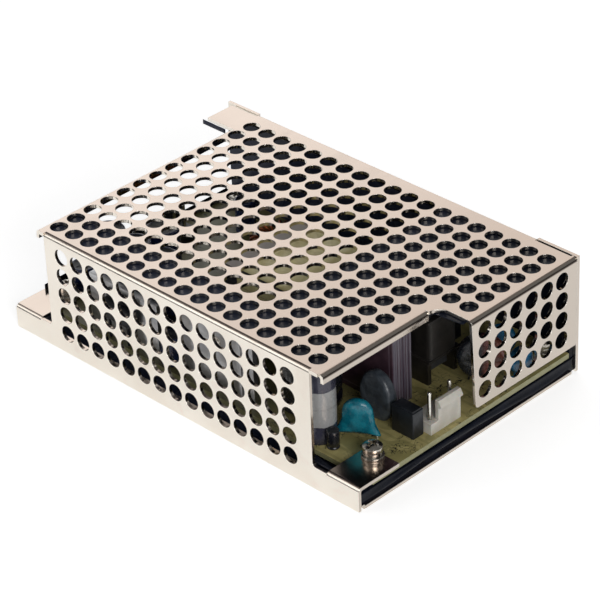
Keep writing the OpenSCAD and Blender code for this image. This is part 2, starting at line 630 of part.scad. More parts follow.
module output_header_place() on_board(4, 36) children();
module output_pin_places() output_header_place() for (i = [0 : 5]) translate([5.3, 2.9 + i * 3.96, 0]) children();
module output_header() color([0.86, 0.85, 0.8]) difference() {
  output_header_place() union() {
    cube([own(header_l), own(wafer_l), own(header_h)]);
    cube([1.2, own(wafer_l), own(lock_h)]);
  }
  output_pin_places() translate([0, 0, -eps]) cylinder(d = own(pin_d) + 0.1, h = 4);
}
module output_pins() color([0.78, 0.76, 0.7]) output_pin_places() pin(0);
module resistors() color([0.6, 0.5, 0.36]) for (v = [70, 74]) on_board(90, v) {
  translate([-4.5, 0, 1.8]) rotate([0, 90, 0]) cylinder(d = 3.2, h = 9);
  for (s = [-1, 1]) translate([s * 5.6, 0, 0]) cylinder(d = 0.7, h = 2.1, $fn = 16);
  translate([-5.6, 0, 1.8]) rotate([0, 90, 0]) cylinder(d = 0.7, h = 11.2, $fn = 16);
}

cover();
base_tray();
insulating_sheet();
standoffs();
board();
board_screws();
spring_washers();
flat_washers();
side_screws();
input_header();
input_pins();
fuse_block();
sleeved_fuse();
varistor();
thermistor();
film_capacitor();
small_capacitors();
y_capacitors();
brown_disc();
choke_core();
choke_windings();
bridge_rectifier();
bulk_capacitor();
primary_heatsink();
secondary_heatsink();
power_transistor();
rectifier_diode();
device_screws();
transformer_core();
transformer_bobbin();
transformer_winding();
inductor_core();
inductor_winding();
output_capacitors();
optocouplers();
control_circuit();
output_header();
output_pins();
resistors();
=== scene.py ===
"""Looks of the open frame power supply: materials, detailed pieces, light and camera."""
import json
import math

import bmesh
import bpy
from mathutils import Matrix, Vector, noise


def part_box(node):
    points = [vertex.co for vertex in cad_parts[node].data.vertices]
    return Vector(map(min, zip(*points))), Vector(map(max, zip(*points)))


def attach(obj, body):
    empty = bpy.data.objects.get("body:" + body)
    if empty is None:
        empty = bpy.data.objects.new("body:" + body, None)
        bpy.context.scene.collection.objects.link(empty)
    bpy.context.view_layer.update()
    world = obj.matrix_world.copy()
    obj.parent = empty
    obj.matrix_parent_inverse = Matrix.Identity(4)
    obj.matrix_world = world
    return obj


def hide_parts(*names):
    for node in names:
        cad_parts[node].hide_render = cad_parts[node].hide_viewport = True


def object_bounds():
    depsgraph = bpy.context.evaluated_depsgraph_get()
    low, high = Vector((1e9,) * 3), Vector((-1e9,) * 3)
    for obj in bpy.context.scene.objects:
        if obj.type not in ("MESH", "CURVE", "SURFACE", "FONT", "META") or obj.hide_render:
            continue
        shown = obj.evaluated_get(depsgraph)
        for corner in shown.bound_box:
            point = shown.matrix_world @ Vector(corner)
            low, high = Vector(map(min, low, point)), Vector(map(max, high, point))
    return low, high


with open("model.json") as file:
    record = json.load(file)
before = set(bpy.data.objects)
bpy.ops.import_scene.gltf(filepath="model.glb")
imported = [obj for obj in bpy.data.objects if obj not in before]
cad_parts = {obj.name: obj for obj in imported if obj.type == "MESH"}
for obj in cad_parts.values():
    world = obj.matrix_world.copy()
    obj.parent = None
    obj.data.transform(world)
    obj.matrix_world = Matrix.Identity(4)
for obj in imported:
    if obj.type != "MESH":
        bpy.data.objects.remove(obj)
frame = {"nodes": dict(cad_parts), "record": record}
cad_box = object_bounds()
nodes = frame["nodes"]
MM = 0.001
WELD = 0.002 * MM  # points of a CAD mesh that are nearer than this are one


# ---------------------------------------------------------------- materials
def rgb(r, g, b):
    """A colour given as it shows on a screen, made linear."""
    def linear(v):
        v /= 255
        return v / 12.92 if v <= 0.04045 else ((v + 0.055) / 1.055) ** 2.4
    return (linear(r), linear(g), linear(b), 1.0)


class Shader:
    """A Principled material whose colour, roughness and relief come from nodes."""

    def __init__(self, name, **sockets):
        self.material = bpy.data.materials.new(name)
        self.material.use_nodes = True
        self.tree = self.material.node_tree
        self.tree.nodes.clear()
        self.bsdf = self.add("ShaderNodeBsdfPrincipled")
        for key, value in sockets.items():
            self.bsdf.inputs[key.replace("_", " ")].default_value = value
        output = self.add("ShaderNodeOutputMaterial")
        self.tree.links.new(self.bsdf.outputs[0], output.inputs[0])
        self.place = self.add("ShaderNodeTexCoord").outputs["Object"]

    def add(self, kind, values=(), **props):
        node = self.tree.nodes.new(kind)
        for key, value in props.items():
            setattr(node, key, value)
        for key, value in dict(values).items():
            self.plug(node.inputs[key], value)
        return node

    def plug(self, socket, value):
        if isinstance(value, bpy.types.NodeSocket):
            self.tree.links.new(value, socket)
        else:
            socket.default_value = value

    def stretched(self, stretch):
        return self.add("ShaderNodeMapping", {"Vector": self.place, "Scale": stretch}).outputs[0]

    def noise(self, size, detail=3.0, stretch=None, distortion=0.0):
        """Noise with features of about this size in millimetres."""
        where = self.stretched(stretch) if stretch else self.place
        return self.add("ShaderNodeTexNoise", {
            "Vector": where, "Scale": 1 / (size * MM), "Detail": detail, "Distortion": distortion}).outputs[0]

    def cells(self, size, stretch=None):
        """The distance to the nearest of scattered points, about this many millimetres apart."""
        where = self.stretched(stretch) if stretch else self.place
        return self.add("ShaderNodeTexVoronoi", {"Vector": where, "Scale": 1 / (size * MM)}).outputs["Distance"]

    def math(self, operation, a, b=0.0, clamp=False):
        return self.add("ShaderNodeMath", {0: a, 1: b}, operation=operation, use_clamp=clamp).outputs[0]

    def span(self, value, low, high, to_low=0.0, to_high=1.0):
        """Maps low..high to to_low..to_high smoothly, and holds the ends."""
        return self.add("ShaderNodeMapRange", {
            "Value": value, "From Min": low, "From Max": high, "To Min": to_low, "To Max": to_high},
            interpolation_type="SMOOTHSTEP").outputs[0]

    def within(self, value, low, high, soft):
        """1 between low and high, 0 outside, with soft edges."""
        rise = self.span(value, low - soft, low + soft)
        fall = self.span(value, high - soft, high + soft, 1.0, 0.0)
        return self.math("MULTIPLY", rise, fall)

    def mix(self, factor, a, b):
        node = self.add("ShaderNodeMix", {0: factor, 6: a, 7: b}, data_type="RGBA")
        return node.outputs[2]

    def axis(self, vector, letter):
        return self.add("ShaderNodeSeparateXYZ", {0: vector}).outputs[letter]

    def facing(self, letter):
        """The surface normal's part along one axis of the object."""
        return self.axis(self.add("ShaderNodeNewGeometry").outputs["Normal"], letter)

    def edge(self, radius):
        """1 at sharp edges, 0 on flats."""
        rounded = self.add("ShaderNodeBevel", {"Radius": radius * MM}, samples=4).outputs[0]
        flat = self.add("ShaderNodeNewGeometry").outputs["Normal"]
        dot = self.add("ShaderNodeVectorMath", {0: rounded, 1: flat}, operation="DOT_PRODUCT").outputs["Value"]
        return self.span(dot, 0.99, 0.8, 0.0, 1.0)

    def finish(self, colour, roughness=None, relief=(), bevel=0.0):
        """Relief is a list of (height socket, depth in millimetres)."""
        self.plug(self.bsdf.inputs["Base Color"], colour)
        if roughness is not None:
            self.plug(self.bsdf.inputs["Roughness"], roughness)
        normal = None
        if bevel:
            normal = self.add("ShaderNodeBevel", {"Radius": bevel * MM}, samples=4).outputs[0]
        for height, depth in relief:
            values = {"Height": height, "Distance": depth * MM, "Strength": 1.0}
            if normal:
                values["Normal"] = normal
            normal = self.add("ShaderNodeBump", values).outputs[0]
        if normal:
            self.plug(self.bsdf.inputs["Normal"], normal)
        return self.material


def sheet_metal():
    s = Shader("plated_sheet", Metallic=1.0)
    up, out = s.facing("Z"), s.facing("X")
    # From -X towards +X the top's colour goes from lighter to darker: a painted fall-off of light, with random
    # variation mixed in below.
    top_light_and_tone = s.mix(s.span(s.axis(s.place, "X"), -60 * MM, 65 * MM), rgb(243, 226, 212), rgb(211, 192, 177))
    top_light_and_tone = s.mix(s.span(s.noise(30, 2), 0.35, 0.65, 0.0, 0.3), top_light_and_tone, rgb(222, 204, 191))
    wall_tone_and_shade = s.mix(s.span(s.noise(22, 2), 0.35, 0.65), rgb(226, 218, 206), rgb(232, 225, 214))
    # Faces turned towards +X get a darker colour: painted shade.
    wall_tone_and_shade = s.mix(s.span(out, 0.6, 0.9), wall_tone_and_shade, rgb(196, 186, 175))
    # Upward faces get a pinker, lighter colour than the walls: a painted reflection, one plating coloured two ways by
    # facing.
    colour = s.mix(s.span(up, 0.55, 0.95), wall_tone_and_shade, top_light_and_tone)
    smear = s.noise(9, 4, (1, 0.35, 1), 0.4)
    colour = s.mix(s.span(smear, 0.52, 0.75, 0.0, 0.25), colour, rgb(205, 190, 178))
    # Thin dark lines are painted along the folds: a painted reflection, on the high fold facing -Y and on the folds
    # turned towards +X.
    y_side = s.facing("Y")
    painted_fold_line_y = s.within(s.math("MULTIPLY", y_side, -1.0), 0.16, 0.42, 0.05)
    high = s.span(s.axis(s.place, "Z"), 20 * MM, 22 * MM)
    painted_fold_line_y = s.math("MULTIPLY", painted_fold_line_y, high)
    colour = s.mix(s.math("MULTIPLY", painted_fold_line_y, s.within(up, 0.7, 0.99, 0.02)), colour, rgb(70, 62, 58))
    # Painted reflection: a dark line along the folds turned towards +X.
    painted_fold_line_x = s.math("MULTIPLY", s.within(out, 0.86, 0.985, 0.02), s.within(up, 0.1, 0.6, 0.05))
    colour = s.mix(painted_fold_line_x, colour, rgb(80, 72, 66))
    # Sharp edges and hole rims are painted near white: a painted highlight.
    colour = s.mix(s.math("MULTIPLY", s.edge(0.25), 0.7), colour, rgb(247, 243, 236))
    grain = s.noise(0.5, 2, (0.12, 1, 1))
    fine = s.noise(0.18, 3)
    rough = s.math("ADD", s.span(smear, 0.3, 0.7, 0.14, 0.21), s.span(grain, 0.3, 0.7, -0.03, 0.03))
    return s.finish(colour, rough, [(fine, 0.004), (grain, 0.006), (s.noise(18, 1), 0.05)], bevel=0.18)


def black_film():
    s = Shader("black_film", Specular_IOR_Level=0.12)
    inside = s.mix(s.span(s.noise(6, 4), 0.4, 0.7), rgb(42, 48, 66), rgb(56, 61, 78))
    # Towards +X the film is painted darker: painted shade.
    inside = s.mix(s.span(s.axis(s.place, "X"), 5 * MM, 45 * MM), inside, rgb(22, 27, 40))
    # Film facing +X gets a much darker colour than film facing elsewhere: one film in a lit and a shaded copy.
    front = s.mix(s.span(s.noise(6, 4), 0.4, 0.7), rgb(7, 11, 22), rgb(13, 18, 31))
    colour = s.mix(s.span(s.facing("X"), 0.5, 0.8), inside, front)
    dust = s.span(s.noise(0.35, 2), 0.66, 0.74)
    colour = s.mix(s.math("MULTIPLY", dust, 0.2), colour, rgb(90, 90, 95))
    return s.finish(colour, s.span(s.noise(4, 3), 0.3, 0.7, 0.16, 0.32), [(s.noise(12, 2), 0.25)])


def circuit_board():
    s = Shader("circuit_board")
    up = s.facing("Z")
    track = s.add("ShaderNodeTexBrick", {
        "Vector": s.stretched((1, 1, 1)), "Scale": 1 / (7 * MM), "Mortar Size": 0.07, "Mortar Smooth": 0.1,
        "Brick Width": 1.7, "Row Height": 0.6, "Color1": (0, 0, 0, 1), "Color2": (0, 0, 0, 1), "Mortar": (1, 1, 1, 1)})
    pour = s.span(s.noise(11, 1, distortion=0.6), 0.5, 0.52)
    copper = s.math("MAXIMUM", s.math("MULTIPLY", track.outputs[1], 0.6), s.math("MULTIPLY", pour, 0.8), clamp=True)
    resin = s.mix(s.span(s.noise(3, 4), 0.35, 0.65), rgb(176, 164, 108), rgb(190, 178, 120))
    # Away from the open +X end the board is painted darker: painted shade.
    far = s.span(s.axis(s.place, "X"), 18 * MM, 42 * MM, 1.0, 0.0)
    resin = s.mix(far, resin, rgb(96, 91, 64))
    colour = s.mix(s.math("MULTIPLY", copper, 0.5), resin, rgb(104, 104, 58))
    legend = s.within(s.noise(3.2, 1, distortion=1.6), 0.47, 0.5, 0.003)
    legend = s.math("MULTIPLY", legend, s.span(s.noise(6, 1), 0.48, 0.52))
    colour = s.mix(legend, colour, rgb(30, 30, 22))
    layers = s.noise(0.12, 2, (0.05, 0.05, 1))
    edge = s.mix(s.span(layers, 0.4, 0.6), rgb(160, 158, 118), rgb(138, 136, 96))
    colour = s.mix(s.span(s.math("ABSOLUTE", up), 0.4, 0.6), edge, colour)
    weave = s.cells(0.5, stretch=(1, 1, 0.2))
    return s.finish(colour, s.span(s.noise(2, 3), 0.3, 0.7, 0.28, 0.42), [(copper, 0.04), (weave, 0.01)])


def moulding(name, dark, light, low=0.35, high=0.5, size=0.25, **sockets):
    """A moulded part: slight mottling, a fine spark-eroded grain and softened corners."""
    s = Shader(name, **sockets)
    colour = s.mix(s.span(s.noise(4, 4), 0.35, 0.65), rgb(*dark), rgb(*light))
    # Sharp edges are made lighter.
    edge_lightening = s.math("MULTIPLY", s.edge(0.2), 0.35)
    colour = s.mix(edge_lightening, colour, rgb(*(min(255, c * 1.5 + 12) for c in light)))
    rough = s.span(s.noise(1.2, 3), 0.3, 0.7, low, high)
    return s.finish(colour, rough, [(s.noise(size, 2), 0.01), (s.noise(3, 2), 0.03)], bevel=0.15)


def coating(name, dark, light, low=0.2, high=0.36, painted_shade_node=None):
    """A dipped epoxy coat: lumpy, glossy, with pin holes. The node named by the last argument is painted near black on
    its half towards -X and -Y: painted shade."""
    s = Shader(name, Coat_Weight=0.25, Coat_Roughness=0.12)
    colour = s.mix(s.span(s.noise(2.2, 4), 0.35, 0.65), rgb(*dark), rgb(*light))
    if painted_shade_node:
        near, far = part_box(painted_shade_node)
        along = s.math("ADD", s.axis(s.place, "X"), s.axis(s.place, "Y"))
        middle = (near.x + near.y + far.x + far.y) / 2
        # Painted shade: near black on the half towards -X and -Y.
        colour = s.mix(s.span(along, middle - 1 * MM, middle + 2.5 * MM, 1.0, 0.0), colour, rgb(26, 30, 38))
    pits = s.span(s.cells(0.7), 0.0, 0.16, 1.0, 0.0)
    pits = s.math("MULTIPLY", pits, s.span(s.noise(1.1, 1), 0.5, 0.6))
    colour = s.mix(s.math("MULTIPLY", pits, 0.5), colour, rgb(*(c * 0.5 for c in dark)))
    return s.finish(colour, s.span(s.noise(0.8, 3), 0.3, 0.7, low, high),
                    [(s.noise(1.6, 3), 0.12), (s.math("SUBTRACT", 1.0, pits), 0.05)])


def bright_metal(name, dark, light, low, high, size=0.4, stretch=None, depth=0.006, bevel=0.12):
    s = Shader(name, Metallic=1.0)
    colour = s.mix(s.span(s.noise(size * 6, 3, stretch), 0.35, 0.65), rgb(*dark), rgb(*light))
    stain = s.span(s.noise(3.5, 4), 0.58, 0.72, 0.0, 0.4)
    colour = s.mix(stain, colour, rgb(*(c * 0.72 for c in dark)))
    rough = s.span(s.noise(size, 3, stretch), 0.3, 0.7, low, high)
    return s.finish(colour, rough, [(s.noise(size, 2, stretch), depth)], bevel=bevel)


def wire_enamel():
    s = Shader("copper_winding", Metallic=1.0, Coat_Weight=0.5, Coat_Roughness=0.15)
    colour = s.mix(s.span(s.noise(2.5, 3), 0.35, 0.65), rgb(120, 62, 30), rgb(158, 88, 46))
    return s.finish(colour, s.span(s.noise(0.6, 2), 0.3, 0.7, 0.25, 0.4), [(s.noise(0.3, 2), 0.01)])


def ferrite():
    s = Shader("ferrite")
    speck = s.span(s.noise(0.25, 3), 0.58, 0.7)
    colour = s.mix(s.span(s.noise(5, 4), 0.35, 0.65), rgb(44, 45, 49), rgb(60, 61, 65))
    colour = s.mix(s.math("MULTIPLY", speck, 0.4), colour, rgb(104, 104, 108))
    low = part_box("transformer_core")[0]
    # The top face of the core's -X end is painted light grey: painted light.
    painted_lit_end = s.span(s.axis(s.place, "X"), low.x + 6.5 * MM, low.x + 5.0 * MM)
    colour = s.mix(s.math("MULTIPLY", painted_lit_end, s.span(s.facing("Z"), 0.6, 0.9)), colour, rgb(196, 190, 188))
    chips = s.math("MULTIPLY", s.edge(0.3), s.span(s.noise(1.5, 2), 0.45, 0.6))
    colour = s.mix(s.math("MULTIPLY", chips, 0.6), colour, rgb(128, 126, 122))
    return s.finish(colour, s.span(s.noise(1, 3), 0.3, 0.7, 0.42, 0.6), [(s.noise(0.3, 3), 0.02)], bevel=0.2)


def tape():
    s = Shader("yellow_tape", Coat_Weight=0.2, Coat_Roughness=0.1)
    # The tape's colour is set lighter than the tape itself: painted light.
    colour = s.mix(s.span(s.noise(7, 3), 0.35, 0.65), rgb(238, 226, 164), rgb(248, 238, 180))
    height = s.axis(s.place, "Z")
    lap = s.math("PINGPONG", height, 2.6 * MM)
    lap = s.span(lap, 0.0, 0.35 * MM, 1.0, 0.0)
    colour = s.mix(s.math("MULTIPLY", lap, 0.35), colour, rgb(120, 108, 50))
    return s.finish(colour, s.span(s.noise(2, 3), 0.3, 0.7, 0.22, 0.34), [(lap, 0.06), (s.noise(5, 2), 0.15)])


def sleeve(name, dark, light, band=None, band_from=0.0, band_to=0.0):
    """Shrink sleeve, with an unprinted pale band between two heights where band is given."""
    s = Shader(name, Coat_Weight=0.35, Coat_Roughness=0.1)
    colour = s.mix(s.span(s.noise(5, 3), 0.35, 0.65), rgb(*dark), rgb(*light))
    pucker = s.noise(1.4, 2, (1, 1, 0.12))
    relief = [(pucker, 0.05), (s.noise(4, 1), 0.08)]
    if band:
        height = s.axis(s.place, "Z")
        ragged = s.math("ADD", height, s.span(s.noise(3, 2), 0.3, 0.7, -0.12 * MM, 0.12 * MM))
        mask = s.within(ragged, band_from, band_to, 0.05 * MM)
        rule = s.within(s.math("PINGPONG", height, 4.4 * MM), 0.1 * MM, 0.28 * MM, 0.03 * MM)
        paper = s.mix(s.math("MULTIPLY", rule, 0.35), rgb(*band), rgb(*(c * 0.62 for c in band)))
        colour = s.mix(mask, colour, paper)
        relief.append((mask, 0.06))
    return s.finish(colour, s.span(s.noise(1.5, 3), 0.3, 0.7, 0.2, 0.32), relief)


def boxed_capacitor():
    s = Shader("plum_box", Coat_Weight=0.15, Coat_Roughness=0.2)
    colour = s.mix(s.span(s.noise(4, 4), 0.35, 0.65), rgb(58, 40, 50), rgb(74, 52, 62))
    low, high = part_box("film_capacitor")
    span_x = s.math("ABSOLUTE", s.math("SUBTRACT", s.axis(s.place, "X"), (low.x + high.x) / 2))
    span_z = s.math("ABSOLUTE", s.math("SUBTRACT", s.axis(s.place, "Z"), (low.z + high.z) / 2))
    inset = s.math("MAXIMUM", s.math("SUBTRACT", span_x, (high.x - low.x) / 2),
                   s.math("SUBTRACT", span_z, (high.z - low.z) / 2))
    outline = s.within(inset, -1.9 * MM, -1.5 * MM, 0.1 * MM)
    outline = s.math("MULTIPLY", outline, s.span(s.facing("Y"), -0.6, -0.9))
    colour = s.mix(s.math("MULTIPLY", outline, 0.5), colour, rgb(128, 112, 124))
    end = s.span(s.facing("X"), 0.5, 0.9)
    stripe = s.span(s.noise(0.9, 2, (1, 1, 0.02)), 0.42, 0.6)
    colour = s.mix(s.math("MULTIPLY", end, 0.75), colour, s.mix(stripe, rgb(74, 70, 84), rgb(118, 114, 124)))
    return s.finish(colour, s.span(s.noise(1, 3), 0.3, 0.7, 0.28, 0.42),
                    [(s.noise(0.3, 2), 0.008), (s.noise(6, 2), 0.08)], bevel=0.2)


LOOK = {
    "plated_sheet": sheet_metal(),
    "black_film": black_film(),
    "plated_turned": bright_metal("plated_turned", (150, 147, 138), (176, 172, 162), 0.25, 0.4),
    "circuit_board": circuit_board(),
    "screw_steel": bright_metal("screw_steel", (190, 184, 174), (222, 217, 208), 0.14, 0.26),
    "washer_steel": bright_metal("washer_steel", (150, 146, 140), (182, 178, 170), 0.22, 0.36),
    "white_nylon": moulding("white_nylon", (196, 191, 180), (210, 206, 196), 0.32, 0.46,
                            Subsurface_Weight=0.15, Subsurface_Scale=0.5 * MM),
    "tinned_pins": bright_metal("tinned_pins", (196, 192, 184), (226, 223, 216), 0.14, 0.24),
    "black_moulding": moulding("black_moulding", (16, 20, 26), (28, 32, 38)),
    "grey_sleeve": sleeve("grey_sleeve", (52, 52, 66), (64, 63, 78), (158, 158, 158), 12 * MM, 23 * MM),
    "teal_coating": coating("teal_coating", (8, 92, 110), (20, 122, 140)),
    "slate_coating": coating("slate_coating", (46, 52, 60), (66, 73, 80), 0.34, 0.5),
    "plum_box": boxed_capacitor(),
    "navy_sleeve": sleeve("navy_sleeve", (20, 30, 62), (30, 44, 84)),
    "blue_coating": coating("blue_coating", (18, 82, 122), (34, 108, 150)),
    # The brown disc's coat carries painted shade on one half.
    "brown_coating": coating("brown_coating", (98, 48, 40), (128, 70, 60), painted_shade_node="brown_disc"),
    "ferrite": ferrite(),
    "copper_winding": wire_enamel(),
    "black_sleeve": sleeve("black_sleeve", (18, 19, 26), (30, 32, 40)),
    "bare_aluminium": bright_metal("bare_aluminium", (176, 177, 180), (200, 201, 203), 0.28, 0.42, 0.5, (0.1, 1, 1)),
    "bobbin_moulding": moulding("bobbin_moulding", (26, 24, 22), (40, 37, 34)),
    "yellow_tape": tape(),
    "coated_core": coating("coated_core", (150, 148, 60), (176, 172, 82), 0.35, 0.5),
    "white_moulding": moulding("white_moulding", (198, 196, 188), (214, 212, 205)),
    "tan_coating": coating("tan_coating", (150, 118, 78), (176, 142, 98)),
}
LOOK["base_sheet"] = LOOK["plated_sheet"]

slot_of = {part["node"]: part["material_slot"] for part in frame["record"]["subparts"]}
for name, obj in nodes.items():
    obj.data.materials.clear()
    obj.data.materials.append(LOOK[slot_of[name]])


# ---------------------------------------------------------------- pieces
def solids(node):
    """The separate solids of a CAD node, each as a list of its points, lowest X first."""
    bm = bmesh.new()
    bm.from_mesh(nodes[node].data)
    bmesh.ops.remove_doubles(bm, verts=bm.verts, dist=WELD)
    left, found = set(bm.verts), []
    while left:
        stack, points = [left.pop()], []
        while stack:
            vert = stack.pop()
            points.append(vert.co.copy())
            for edge in vert.link_edges:
                other = edge.other_vert(vert)
                if other in left:
                    left.discard(other)
                    stack.append(other)
        found.append(points)
    bm.free()
    return sorted(found, key=lambda points: sum(p.x for p in points) / len(points))


def extent(points):
    low = Vector(min(p[i] for p in points) for i in range(3))
    high = Vector(max(p[i] for p in points) for i in range(3))
    return low, high


def piece(name, source, slot, *stands_for):
    """Makes an object of a bmesh or a curve, on the root body, in place of CAD nodes."""
    if isinstance(source, bmesh.types.BMesh):
        data = bpy.data.meshes.new(name)
        source.to_mesh(data)
        source.free()
        data.shade_smooth()
    else:
        data = source
    obj = bpy.data.objects.new(name, data)
    data.materials.append(LOOK[slot])
    bpy.context.scene.collection.objects.link(obj)
    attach(obj, "root")
    if stands_for:
        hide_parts(*stands_for)
    return obj


def copy_of(node):
    """A clean bmesh of a CAD node: points joined, flat faces whole again."""
    bm = bmesh.new()
    bm.from_mesh(nodes[node].data)
    bmesh.ops.remove_doubles(bm, verts=bm.verts, dist=WELD)
    bmesh.ops.dissolve_limit(bm, angle_limit=math.radians(1), verts=bm.verts, edges=bm.edges)
    return bm


def softened(node, slot, width):
    """A CAD node with its sharp edges rounded, as a moulded or cut part has them."""
    obj = piece(node + "_softened", copy_of(node), slot, node)
    bevel = obj.modifiers.new("edges", "BEVEL")
    bevel.width, bevel.segments = width * MM, 3
    bevel.limit_method, bevel.angle_limit = "ANGLE", math.radians(35)
    bevel.harden_normals = True
    return obj


def dipped(node, slot, voxel, rounds, lump):
    """A CAD node under a dipped coat: its corners run together and its faces are uneven."""
    bm = bmesh.new()
    bm.from_mesh(nodes[node].data)
    bmesh.ops.remove_doubles(bm, verts=bm.verts, dist=WELD)
    obj = piece(node + "_dipped", bm, slot, node)
    remesh = obj.modifiers.new("coat", "REMESH")
    remesh.mode, remesh.voxel_size, remesh.use_smooth_shade = "VOXEL", voxel * MM, True
    smooth = obj.modifiers.new("run", "SMOOTH")
    smooth.factor, smooth.iterations = 0.6, rounds
    texture = bpy.data.textures.new(node + "_lumps", "CLOUDS")
    texture.noise_scale = 3.2 * MM
    bulge = obj.modifiers.new("lumps", "DISPLACE")
    bulge.texture, bulge.strength, bulge.mid_level = texture, lump * MM, 0.6
    return obj


def lathe(bm, centre, profile, steps=48, look=0):
    """Turns a profile of (radius, height) in millimetres round the Z axis through centre."""
    rings = []
    for radius, height in profile:
        if radius < 1e-6:
            rings.append([bm.verts.new(centre + Vector((0, 0, height * MM)))])
            continue
        turn = [2 * math.pi * k / steps for k in range(steps)]
        rings.append([bm.verts.new(centre + Vector((radius * math.cos(a), radius * math.sin(a), height)) * MM)
                      for a in turn])
    for low, high in zip(rings, rings[1:]):
        for k in range(steps):
            near, far = k, (k + 1) % steps
            corners = [low[near % len(low)], low[far % len(low)], high[far % len(high)], high[near % len(high)]]
            corners = list(dict.fromkeys(corners))
            if len(corners) > 2:
                bm.faces.new(corners).material_index = look


def arc(centre_r, centre_z, radius, start, end, count=5):
    """Points on a profile's rounding, with angles in degrees from the outward direction."""
    angles = [math.radians(start + (end - start) * k / count) for k in range(count + 1)]
    return [(centre_r + radius * math.cos(a), centre_z + radius * math.sin(a)) for a in angles]


def score(bm, centre, width, reach, arms, depth, look):
    """Narrow grooves pressed into a can's top, as flat dark-edged bars that dip under the face."""
    for k in range(arms):
        turn = Matrix.Rotation(math.pi * 2 * k / arms + 0.3, 3, "Z")
        for side in (-1, 1):
            rail = [Vector((0.1, side * width / 2, depth)), Vector((reach, side * width / 2, depth)),
                    Vector((reach, side * width * 0.1, -0.02)), Vector((0.1, side * width * 0.1, -0.02))]
            corners = [bm.verts.new(centre + turn @ p * MM) for p in rail]
            bm.faces.new(corners if side > 0 else corners[::-1]).material_index = look


def can(bm, low, high):
    """An electrolytic capacitor: a bung, a crimped neck, a sleeve that curls over the rim and a scored top."""
    radius = (high.x - low.x) / 2 / MM
    height = (high.z - low.z) / MM
    centre = Vector(((low.x + high.x) / 2, (low.y + high.y) / 2, low.z))
    curl = radius * 0.12
    neck = radius * 0.42
    sleeve_side = [(radius * 0.78, 0.0), (radius * 0.95, 0.05)] + arc(radius - curl, curl, curl, -60, 0)
    sleeve_side += [(radius, neck - radius * 0.14)] + [
        (radius - 0.09 * radius * math.sin(math.pi * k / 8), neck + radius * 0.14 * (k / 4 - 1)) for k in range(1, 8)]
    sleeve_side += [(radius, neck + radius * 0.14)] + [(radius, height * f) for f in (0.4, 0.6, 0.8)]
    sleeve_side += arc(radius - curl, height - curl, curl, 0, 90)
    sleeve_side += [(radius * 0.8, height), (radius * 0.78, height - 0.12)]
    lathe(bm, centre, sleeve_side)
    top = [(radius * 0.79, height - 0.08), (radius * 0.76, height - 0.1), (radius * 0.72, height - 0.28),
           (radius * 0.4, height - 0.3), (0, height - 0.3)]
    lathe(bm, centre, top, look=1)
    lathe(bm, centre, [(0, 0.02), (radius * 0.8, 0.02)], look=2)
    if radius > 3:
        score(bm, centre + Vector((0, 0, height - 0.3)) * MM, radius * 0.1, radius * 0.6, 3, 0.06, 1)


def cans(node, slot, name, chosen=slice(None)):
    """The chosen ones of a node's capacitors, counted from the output end."""
    bm = bmesh.new()
    for points in solids(node)[chosen]:
        can(bm, *extent(points))
    obj = piece(name, bm, slot, node)
    for _ in ("top", "bung"):
        obj.data.materials.append(LOOK["black_moulding"])


def wire(name, runs, thickness, slot, *stands_for):
    """Round wire along each run of points, in metres."""
    data = bpy.data.curves.new(name, "CURVE")
    data.dimensions, data.bevel_depth, data.bevel_resolution = "3D", thickness / 2 * MM, 2
    data.use_fill_caps = True
    for run in runs:
        spline = data.splines.new("POLY")
        spline.points.add(len(run) - 1)
        for point, place in zip(spline.points, run):
            point.co = (*place, 1)
    return piece(name, data, slot, *stands_for)


def rounded_loop(half_x, half_y, corner, count=5):
    """Corner-rounded rectangle as (x, y) points round the origin."""
    loop = []
    for k, (sx, sy) in enumerate(((1, 1), (-1, 1), (-1, -1), (1, -1))):
        for i in range(count):
            a = math.pi / 2 * (k + i / (count - 1))
            loop.append((sx * (half_x - corner) + corner * math.cos(a), sy * (half_y - corner) + corner * math.sin(a)))
    return loop


def wind_choke():
    """A layer of enamelled wire on each bobbin of the mains choke."""
    thickness, pitch = 0.62, 0.62 * 1.04
    runs = []
    for points in solids("choke_windings"):
        low, high = extent(points)
        centre = (low + high) / 2
        half = (high - low) / 2 / MM
        coil_low, coil_high = low.z / MM + 8.2, high.z / MM - 1.1
        turns = int((coil_high - coil_low) / pitch)
        run = []
        loop = rounded_loop(half.x - 0.75, half.y - 1.15, 1.6)
        for k in range(turns * len(loop)):
            x, y = loop[k % len(loop)]
            swell = 1 + 0.008 * noise.noise(Vector((k * 0.13, centre.x * 900, 0)))
            z = coil_low + pitch * k / len(loop)
            run.append(Vector((centre.x + x * swell * MM, centre.y + y * swell * MM, z * MM)))
        runs.append(run)
    return wire("choke_wire", runs, thickness, "copper_winding")


def wind_inductor():
    """One thick wire wound round the ring."""
    low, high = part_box("inductor_winding")
    centre = (low + high) / 2
    core_low, core_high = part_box("inductor_core")
    outer = (core_high.x - core_low.x) / 2 / MM
    inner = outer * 10 / 17
    half_h = (core_high.z - core_low.z) / 2 / MM
    thickness, turns, steps, lift, squareness = 0.95, 26, 20, 0.12, 0.55
    mid, reach = (outer + inner) / 2, (outer - inner) / 2 + thickness / 2 + lift
    run = []
    for k in range(turns * steps + 1):
        around = 2 * math.pi * k / (turns * steps) * 0.965
        across = 2 * math.pi * k / steps
        c, s = math.cos(across), math.sin(across)
        r = mid + reach * math.copysign(abs(c) ** squareness, c)
        z = (half_h + thickness / 2 + lift) * math.copysign(abs(s) ** squareness, s)
        run.append(Vector((centre.x + r * math.cos(around) * MM, centre.y + r * math.sin(around) * MM,
                           (core_low.z + core_high.z) / 2 + z * MM)))
    return wire("inductor_wire", [run], thickness, "copper_winding", "inductor_winding")


